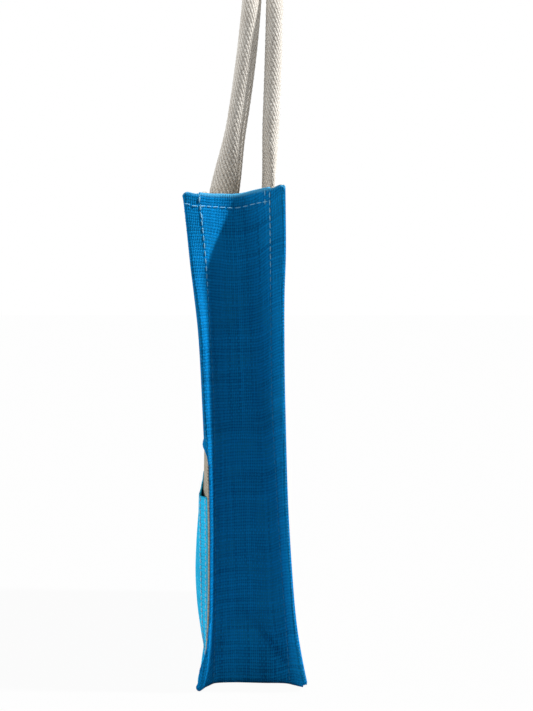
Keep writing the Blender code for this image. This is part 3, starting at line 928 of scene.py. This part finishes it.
def make_gusset(material):
    """The one band of cloth that makes both ends and the bottom, and its thread's places."""
    lattice, spots, rolls, count = gusset_lattice()
    centre = lattice.shape[1] // 2
    outward = lattice_normals(lattice, (0, 0, -1), (len(lattice) // 2, centre))
    ends = np.abs(lattice[:, centre, 0]) > BAG_WIDTH / 2 - END_DEPTH
    stitch = 2 * SEAM_STEPS
    middle = np.zeros(lattice.shape[1])
    middle[stitch:-stitch] = np.sin(np.linspace(0, math.pi, lattice.shape[1] - 2 * stitch)) ** 0.6
    wave = (soft_waves(spots, 5, GUSSET_WAVE) - foot_folds(lattice)) * middle
    lattice = lattice + outward * (wave * ends[:, None])[..., None]
    sheet = Sheet()
    numbers = sheet.add(lattice, spots)
    sheet.fill(numbers)
    heights = np.array(bag_rows(GUSSET_STEP))
    bare = int(np.sum(heights < ROLL_LOW))
    foot = int(np.sum(heights < FOOT_ROLL_HIGH))
    above = (slice(0, count - bare), slice(bare - count, None))
    corners = (slice(count - foot, count), slice(-count, foot - count))
    whole = (slice(0, count), slice(-count, None))
    for roll, column, way, parts in ((rolls[0], 0, -1, above + corners), (rolls[1], -1, 1, whole)):
        for part in parts:
            edge = (lattice[:, column], spots[:, column], numbers[:, column])
            add_roll(sheet, part, edge, roll, way)
    for end, way in ((0, 1), (-1, -1)):
        add_gusset_hem(sheet, lattice, spots, numbers, end, way)
    skin = lattice + outward * THREAD_OUT
    seams = [skin[2:-2, stitch], skin[2:-2, -1 - stitch]]
    last = len(lattice) - 1
    hems = hem_thread(skin, 4.0, 1.2, slice(1, 9))
    hems += hem_thread(skin, last - 4.0, last - 1.2, slice(-9, -1))
    turns = [roll[part, 2] for roll, parts in zip(rolls, (above, whole)) for part in parts]
    return sheet.finish("gusset_cloth_band", material), seams, hems, turns


def pocket_stand_off(x, height):
    """How far the pocket stands off the panel at places x and a height above the floor."""
    share = height / POCKET_HEIGHT
    across = np.clip(np.abs(x) / POCKET_FREE, 0, 1)
    corner = np.clip(np.abs(x) / POCKET_HALF, 0, 1) ** FLARE_POWER * clamp(2 - height / FACE_LOW)
    flare = across ** FLARE_POWER * (1 - across) / (FLARE_PLACE ** FLARE_POWER * (1 - FLARE_PLACE))
    middle = POCKET_GAPE * read_curve(POCKET_SHAPE, 1, share) * (1 - across ** 3)
    beside = POCKET_FLARE * read_curve(POCKET_SHAPE, 2, share) * flare
    return LAYER_STEP * (1 + CORNER_SLACK * corner) + middle + beside


def make_pocket(material):
    """A patch over the front panel: sewn at its sides, caught in the bottom seam, open above."""
    columns = spread(-POCKET_HALF, POCKET_HALF, POCKET_STEP)
    low = spread(FACE_LOW, FACE_LOW + FACE_BORDER, POCKET_STEP)
    rows = low + spread(low[-1], POCKET_HEIGHT, POCKET_STEP)[1:]
    face = [[face_point(FRONT, x, z) for x in columns] for z in rows]
    below = []
    path = seam_path(FRONT, [-FACE_HALF] + columns + [FACE_HALF], rows)[len(rows):-len(rows)]
    for start, above, sample in zip(face[0], face[1], path):
        line = border_line(start, (start - above).normalized(), sample)
        below.append(line[:0:-1])
    lattice = np.concatenate([as_lattice(below).transpose(1, 0, 2), as_lattice(face)])
    heights = [0.0] * (len(lattice) - len(rows)) + rows
    along = run_length(lattice[:, len(columns) // 2])
    spots = np.stack(np.meshgrid(np.array(columns), along), axis=2)
    outward = lattice_normals(lattice, (0, -1, 0), (-1, len(columns) // 2))
    stand = np.array([pocket_stand_off(np.array(columns), height) for height in heights])
    lattice = lattice + outward * stand[..., None]
    free = (np.array(columns) / POCKET_FREE) ** 2 < 0.95
    free = free * ease(0.02, 0.06, np.array(heights))[:, None]
    wave = soft_waves(spots, 9, POCKET_WAVE) * free
    lattice = lattice + outward * np.minimum(wave, POCKET_WAVE_MOST)[..., None]
    sheet = Sheet()
    sheet.fill(sheet.add(lattice, spots))
    skin = lattice + outward * THREAD_OUT
    rows_of_thread = []
    for inset in POCKET_ROWS:
        column = round(inset / POCKET_STEP)
        rows_of_thread += [skin[8:-1, column], skin[8:-1, -1 - column]]
    return sheet.finish("pocket_patch", material), rows_of_thread


# Thread and yarn turns, laid along lines by Geometry Nodes

LUMP_INPUTS = (("Pitch", "Float"), ("Length", "Float"), ("Thickness", "Float"),
               ("Unevenness", "Float"), ("Seed", "Int"), ("Thread", "Material"))


def lumps_tree():
    """Geometry Nodes that lay one long lump after another along a piece's lines."""
    tree = bpy.data.node_groups.new("lumps_along_lines", "GeometryNodeTree")
    tree.interface.new_socket("Lines", in_out="INPUT", socket_type="NodeSocketGeometry")
    for name, kind in LUMP_INPUTS:
        tree.interface.new_socket(name, in_out="INPUT", socket_type="NodeSocket" + kind)
    tree.interface.new_socket("Lumps", in_out="OUTPUT", socket_type="NodeSocketGeometry")

    def node(kind, settings, inputs):
        return add_node(tree, kind, settings, inputs)

    def times(value, factor):
        return node("ShaderNodeMath", {"operation": "MULTIPLY"}, {0: value, 1: factor})

    given = tree.nodes.new("NodeGroupInput").outputs
    curve = node("GeometryNodeMeshToCurve", {}, {"Mesh": given["Lines"]})
    points = node("GeometryNodeResampleCurve", {"mode": "LENGTH"},
                  {"Curve": curve, "Length": given["Pitch"]})
    half = [times(given[name], 0.5) for name in ("Length", "Thickness")]
    shape = node("ShaderNodeCombineXYZ", {}, {0: half[0], 1: half[1], 2: half[1]})
    ball = node("GeometryNodeMeshUVSphere", {}, {"Segments": 8, "Rings": 6, "Radius": 1.0})
    smooth = node("GeometryNodeSetShadeSmooth", {}, {"Geometry": ball})
    lump = node("GeometryNodeTransform", {}, {"Geometry": smooth, "Scale": shape})
    tangent = node("GeometryNodeInputTangent", {}, {})
    turned = node("FunctionNodeAlignRotationToVector", {"axis": "X"}, {"Vector": tangent})
    low = node("ShaderNodeMath", {"operation": "SUBTRACT"}, {0: 1.0, 1: given["Unevenness"]})
    high = node("ShaderNodeMath", {"operation": "ADD"}, {0: 1.0, 1: given["Unevenness"]})
    scale = node("FunctionNodeRandomValue", {"data_type": "FLOAT_VECTOR"},
                 {0: low, 1: high, "Seed": given["Seed"]})
    least, most = times(given["Unevenness"], -0.6), times(given["Unevenness"], 0.6)
    tilt = node("FunctionNodeRandomValue", {"data_type": "FLOAT_VECTOR"},
                {0: least, 1: most, "Seed": given["Seed"]})
    turned = node("FunctionNodeRotateRotation", {}, {"Rotation": turned, "Rotate By": tilt})
    laid = node("GeometryNodeInstanceOnPoints", {},
                {"Points": points, "Instance": lump, "Rotation": turned, "Scale": scale})
    real = node("GeometryNodeRealizeInstances", {}, {"Geometry": laid})
    done = node("GeometryNodeSetMaterial", {}, {"Geometry": real, "Material": given["Thread"]})
    tree.links.new(done, tree.nodes.new("NodeGroupOutput").inputs[0])
    return tree


def lay_lumps(tree, name, lines, values):
    """A piece made of lumps along lines of points; values follow LUMP_INPUTS."""
    points, edges = [], []
    for line in lines:
        first = len(points)
        points += settle(line).tolist()
        edges += [(k, k + 1) for k in range(first, len(points) - 1)]
    mesh = bpy.data.meshes.new(name)
    mesh.from_pydata(points, edges, [])
    mesh.materials.append(values[-1])
    piece = add_object(name, mesh)
    lumps = piece.modifiers.new("lumps", "NODES")
    lumps.node_group = tree
    given = {item.name: item.identifier for item in tree.interface.items_tree
             if item.in_out == "INPUT"}
    for (key, _), value in zip(LUMP_INPUTS, values):
        lumps[given[key]] = value
    return bake_modifiers(piece)


def smooth_line(points):
    """Evenly smoothed copy of a line of points."""
    line = np.array(points)
    line[1:-1] = (line[:-2] + line[1:-1] * 2 + line[2:]) / 4
    return line


def handle_thread():
    """Stitch lines that box in the sewn ends of the handles, inside and out."""
    sewn = handle_places()[0]
    low = BAG_HEIGHT - HEM_DEPTH - HANDLE_TAIL - HANDLE_SEWN + BOX_SHORT
    high = low + HANDLE_SEWN - BOX_SHORT
    half = HANDLE_FLAT_WIDTH / 2 - BOX_INSET
    box = ((-half, low), (half, low), (half, high), (-half, high), (-half, low))
    bulge = HANDLE_FLAT_THICKNESS / 2 * math.sqrt(1 - (2 * half / HANDLE_FLAT_WIDTH) ** 2)
    lines = []
    for side in (FRONT, BACK):
        for middle in (-HANDLE_SPACING / 2, HANDLE_SPACING / 2):
            inner, outer = [], []
            for (x0, z0), (x1, z1) in zip(box, box[1:]):
                for step in range(BOX_STEPS):
                    x = middle + x0 + (x1 - x0) * step / BOX_STEPS
                    z = z0 + (z1 - z0) * step / BOX_STEPS
                    inner.append((x, sewn[side] - side * (bulge + THREAD * 0.3), z))
                    face = face_y(side, x, z / top_height(side))
                    outer.append((x, face + side * (CLOTH / 2 + THREAD * 0.5), z))
            lines += [inner, outer]
    return lines


# Handles

HANDLE_STEP = 0.0009
HANDLE_CELLS = 64
TWILL_PITCH = 0.0024
TWILL_LEAN = 2.1
TWILL_DEPTH = 0.0006
TWILL_BREAKS = (0.0052, 0.0061)


def hem_inner_y(side, x, z):
    """Inner face of a panel's hem at x and z."""
    return face_y(side, x, z / BAG_HEIGHT) - side * (2 * HEM_RADIUS + CLOTH / 2)


def handle_places():
    """Middle of each handle where it is sewn, at the mouth and at its top."""
    leg = HANDLE_SPACING / 2
    sewn, mouth = {}, {}
    for side, turn in ((FRONT, FRONT_TURN), (BACK, BACK_TURN)):
        thick = HANDLE_FLAT_THICKNESS / 2 + CLEARANCE - HEM_STEP + CLEARANCE
        sewn[side] = hem_inner_y(side, leg, BAG_HEIGHT - HEM_DEPTH) - side * thick
        wide = max(HANDLE_FLAT_WIDTH / 2 * math.sin(math.radians(turn)), HANDLE_DIAMETER / 2)
        mouth[side] = hem_inner_y(side, leg, BAG_HEIGHT) - side * (wide + HEM_SLOT)
    top = {BACK: mouth[BACK] + HANDLE_LEAN_BACK}
    top[FRONT] = top[BACK] - HANDLE_DIAMETER - HANDLE_GAP
    return sewn, mouth, top


def handle_station(side, height, places):
    """Place, wide and thick half sizes and turn of a handle at one height of a leg."""
    sewn, mouth, top = (place[side] for place in places)
    hem_edge = BAG_HEIGHT - HEM_DEPTH
    over_hem = -side * HEM_STEP * ease(hem_edge - HANDLE_TAIL, hem_edge - CLEARANCE, height)
    enter = ease(BAG_HEIGHT - HANDLE_TAIL, BAG_HEIGHT, height)
    rise = clamp((height - BAG_HEIGHT) / HANDLE_RISE)
    place = sewn + over_hem * (1 - enter) + (mouth - sewn) * enter
    place += (top - mouth) * (1 - (1 - rise) ** LEAN_POWER)
    fullness = ease(BAG_HEIGHT, BAG_HEIGHT + TAPER_LENGTH, height)
    swell = enter * MOUTH_SWELL + (1 - enter * MOUTH_SWELL) * fullness
    wide = HANDLE_FLAT_WIDTH / 2 * (1 - fullness) + HANDLE_DIAMETER / 2 * fullness
    thick = HANDLE_FLAT_THICKNESS / 2 * (1 - swell) + HANDLE_DIAMETER / 2 * swell
    turn = math.radians(FRONT_TURN if side == FRONT else BACK_TURN)
    return place, wide, thick, turn * enter


def handle_stations(side):
    """Stations over the whole handle, from one sewn end over the top to the other."""
    places = handle_places()
    radius = HANDLE_SPACING / 2
    end = BAG_HEIGHT - HEM_DEPTH - HANDLE_TAIL - HANDLE_SEWN
    shoulder = BAG_HEIGHT + HANDLE_RISE - radius
    spots = [(radius, height, 1.0) for height in spread(end, shoulder, HANDLE_STEP)]
    arch = math.ceil(math.pi / 2 * radius / HANDLE_STEP)
    for step in range(1, arch + 1):
        angle = math.pi / 2 * step / arch
        spots.append((radius * math.cos(angle), shoulder + radius * math.sin(angle),
                      1 - step / arch))
    stations = []
    for x, height, share in spots:
        place, wide, thick, turn = handle_station(side, height, places)
        stations.append((Vector((x, place, height)), wide, thick, turn * share))
    mirrored = [(Vector((-c.x, c.y, c.z)), wide, thick, -turn)
                for c, wide, thick, turn in reversed(stations[:-1])]
    return stations + mirrored


def twill_ring(station, run, axes):
    """Points of the handle's skin round one station, with the tape's ridges, and the ridges."""
    centre, wide, thick, twist = station
    angles = 2 * np.pi * np.arange(HANDLE_CELLS) / HANDLE_CELLS
    around = np.arcsin(np.sin(angles + twist)) * (wide + thick) / 2
    phase = (run / TWILL_LEAN + around) / TWILL_PITCH
    along, across = TWILL_BREAKS
    breaks = np.sin(2 * np.pi * (run / along - around / across + 0.5 * np.floor(phase)))
    ridge = np.abs(np.sin(np.pi * phase)) ** 0.8 * (0.86 + 0.14 * breaks)
    out = np.stack([np.cos(angles) * thick, np.sin(angles) * wide], axis=1)
    out /= np.linalg.norm(out, axis=1, keepdims=True)
    flat = np.stack([np.cos(angles) * wide, np.sin(angles) * thick], axis=1)
    flat += out * ((ridge - 0.6) * TWILL_DEPTH)[:, None]
    turn = np.array(((math.cos(twist), math.sin(twist)), (-math.sin(twist), math.cos(twist))))
    return np.array(centre) + flat @ turn @ axes, ridge


def make_handle(side, name, material):
    """A padded tape handle: flat where it is sewn in, round where it is held."""
    stations = handle_stations(side)
    count = len(stations)
    run = run_length(np.array([tuple(station[0]) for station in stations]))
    rings, ridges = [], []
    for k, station in enumerate(stations):
        tangent = stations[min(k + 1, count - 1)][0] - stations[max(k - 1, 0)][0]
        tangent.normalize()
        depth = Vector((0, 1, 0))
        depth = (depth - tangent * depth.dot(tangent)).normalized()
        ring, ridge = twill_ring(station, run[k], np.array([depth.cross(tangent), depth]))
        rings.append(ring)
        ridges.append(ridge)
    numbers = np.arange(count * HANDLE_CELLS).reshape(count, HANDLE_CELLS)
    beside = np.roll(numbers, -1, axis=1)
    faces = np.stack([numbers[:-1], beside[:-1], beside[1:], numbers[1:]], axis=-1)
    faces = faces.reshape(-1, 4).tolist() + [numbers[0, ::-1].tolist(), numbers[-1].tolist()]
    turned = np.abs(np.arange(HANDLE_CELLS) / HANDLE_CELLS - 0.5)
    spots = np.stack(np.meshgrid(math.pi * HANDLE_DIAMETER * turned, run), axis=2)
    piece = smooth_piece(name, np.array(rings).reshape(-1, 3).tolist(), faces,
                         spots.reshape(-1, 2), material)
    marks = piece.data.attributes.new("ridge", "FLOAT", "POINT")
    marks.data.foreach_set("value", np.array(ridges, dtype=np.float32).ravel())
    piece.data.set_sharp_from_angle(angle=math.radians(50))
    return piece


# Camera, light and floor. A lamp has the point that it shines from, its strength and its width
# in degrees.

CAMERA_PLACE = (1.475, 0.016, 0.338)
CAMERA_AIM = (0.175, 0.016, 0.2496)
CAMERA_LENS = 89.72
KEY_FROM = (0.10, 1.46, 1.66)
KEY_STRENGTH = 5.7
KEY_ANGLE = 4.0
FILL_FROM = (0.10, -1.6, 0.55)
FILL_STRENGTH = 1.75
FILL_ANGLE = 35.0
ROOM_LIGHT = 0.18
FLOOR_GLOW = 0.96
FLOOR_HALF = 6.0
FLOOR_GREY = (0.42, 0.42, 0.42, 1)
WHITE = (1, 1, 1, 1)


def aim(thing, place, target):
    thing.location = place
    thing.rotation_euler = (Vector(target) - Vector(place)).to_track_quat("-Z", "Y").to_euler()


def make_camera():
    camera = bpy.data.cameras.new("camera")
    camera.sensor_fit = "VERTICAL"
    camera.sensor_height = 36.0
    camera.lens = CAMERA_LENS
    camera.clip_end = 20.0
    holder = add_object("camera", camera)
    aim(holder, CAMERA_PLACE, CAMERA_AIM)
    bpy.context.scene.camera = holder


def make_sun(name, toward, strength, angle):
    """A lamp that lights along the direction from the point toward to the bag."""
    lamp = bpy.data.lights.new(name, "SUN")
    lamp.energy = strength
    lamp.angle = math.radians(angle)
    aim(add_object(name, lamp), toward, (0, 0, 0))


def make_surroundings():
    """A white room: its light on the bag is softer than the white that the camera sees."""
    world = bpy.data.worlds.new("room")
    bpy.context.scene.world = world
    world.use_nodes = True
    tree = world.node_tree
    back = tree.nodes["Background"]
    back.inputs["Color"].default_value = WHITE
    path = tree.nodes.new("ShaderNodeLightPath").outputs
    seen = add_node(tree, "ShaderNodeMath", {"operation": "MAXIMUM"},
                    {0: path["Is Camera Ray"], 1: path["Is Glossy Ray"]})
    level = add_node(tree, "ShaderNodeMapRange", {},
                     {"To Min": ROOM_LIGHT, "To Max": 1.0, "Value": seen})
    tree.links.new(level, back.inputs["Strength"])


def make_floor():
    """A plain pale floor that takes the bag's shadow."""
    half = FLOOR_HALF
    mesh = bpy.data.meshes.new("floor")
    mesh.from_pydata([(-half, -half, 0), (half, -half, 0), (half, half, 0), (-half, half, 0)],
                     [], [(0, 1, 2, 3)])
    material = bpy.data.materials.new("floor_white")
    material.use_nodes = True
    tree = material.node_tree
    shader = tree.nodes["Principled BSDF"]
    shader.inputs["Base Color"].default_value = FLOOR_GREY
    shader.inputs["Roughness"].default_value = 0.9
    shader.inputs["Specular IOR Level"].default_value = 0.0
    glow = add_node(tree, "ShaderNodeEmission", {}, {"Color": WHITE})
    path = tree.nodes.new("ShaderNodeLightPath").outputs
    share = add_node(tree, "ShaderNodeMath", {"operation": "MULTIPLY"},
                     {0: path["Is Camera Ray"], 1: FLOOR_GLOW})
    mixed = add_node(tree, "ShaderNodeMixShader", {}, {0: share, 1: shader.outputs[0], 2: glow})
    tree.links.new(mixed, tree.nodes["Material Output"].inputs["Surface"])
    mesh.materials.append(material)
    floor = add_object("floor", mesh)


# The whole bag

def place_piece(piece, slot, *nodes):
    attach(piece, "root")
    if nodes:
        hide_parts(*nodes)


def make_thread(tree, seams, hems, pocket_rows, turns):
    """All the stitching, and the turns of yarn along the band's rolled edges."""
    pale = sewing_thread("pale_blue_thread", PALE_BLUE)
    # The seam thread is painted dark blue below about 0.3 m: painted shade
    seam = sewing_thread("seam_thread", PALE_BLUE, (0.006, 0.20, 0.44))
    light = sewing_thread("light_blue_thread", (0.36, 0.78, 1.0))
    cream = sewing_thread("cream_thread", (0.72, 0.68, 0.58))
    yarn = sewing_thread("blue_yarn", (0.004, 0.20, 0.42))
    stitch = (STITCH_PITCH, STITCH_LENGTH)
    boxes = handle_thread()
    for name, lines, values, slot in (
            ("seam_stitching", seams, (*stitch, THREAD, 0.12, 3, seam), "gusset_cloth"),
            ("hem_stitching", hems, (*stitch, HEM_THREAD, 0.15, 5, pale), "gusset_cloth"),
            ("pocket_stitching", pocket_rows, (0.0046, 0.0045, POCKET_THREAD, 0.12, 7, light),
             "pocket_cloth"),
            ("handle_stitching", boxes, (0.0035, 0.0027, THREAD, 0.12, 9, cream), "handle_tape"),
            ("edge_turns", turns, (RIB_PITCH, 0.0021, 0.0015, 0.22, 11, yarn), "gusset_cloth")):
        place_piece(lay_lumps(tree, name, lines, values), slot)


def main():
    make_camera()
    make_surroundings()
    make_floor()
    make_sun("key", KEY_FROM, KEY_STRENGTH, KEY_ANGLE)
    make_sun("fill", FILL_FROM, FILL_STRENGTH, FILL_ANGLE)
    # Each cloth is given its colour, then a shaded copy and a lit copy of it: painted shade and
    # painted light over the weave
    natural = jute_cloth("natural_jute", (0.41, 0.365, 0.285), (0.19, 0.148, 0.105),
                         (0.60, 0.56, 0.475), flecks=0.6, yarn=NATURAL_YARN_PITCH)
    blue = jute_cloth("blue_jute", (0.0004, 0.112, 0.33), (0.0001, 0.017, 0.086),
                      (0.0015, 0.245, 0.55), gap_light=1.0, rib_share=0.42, gap_shade_share=0.45,
                      sheen=0.02, gloss=0.03, contrast=1.9, ends=BAND_HALF)
    bright = jute_cloth("bright_blue_jute", (0.009, 0.54, 0.98), (0.004, 0.40, 0.88),
                        (0.05, 0.74, 1.0), contrast=0.7, gap_shade_share=0.3, gloss=0.08)
    tape = twill_tape("cream_twill")
    front, front_seam = make_panel(FRONT, "front_panel_cloth", natural)
    back, back_seam = make_panel(BACK, "back_panel_cloth", natural)
    gusset, seams, hems, turns = make_gusset(blue)
    pocket, pocket_rows = make_pocket(bright)
    front_handle = make_handle(FRONT, "front_handle_tape", tape)
    back_handle = make_handle(BACK, "back_handle_tape", tape)
    for piece, slot, node in ((front, "panel_cloth", "front_panel"),
                              (back, "panel_cloth", "back_panel"),
                              (gusset, "gusset_cloth", "gusset_band"),
                              (pocket, "pocket_cloth", "pocket"),
                              (front_handle, "handle_tape", "front_handle"),
                              (back_handle, "handle_tape", "back_handle")):
        place_piece(piece, slot, node)
    seams = [smooth_line(line) for line in seams + [front_seam, back_seam]]
    make_thread(lumps_tree(), seams, hems, pocket_rows, turns)
    bpy.context.scene.view_settings.view_transform = "Standard"


main()
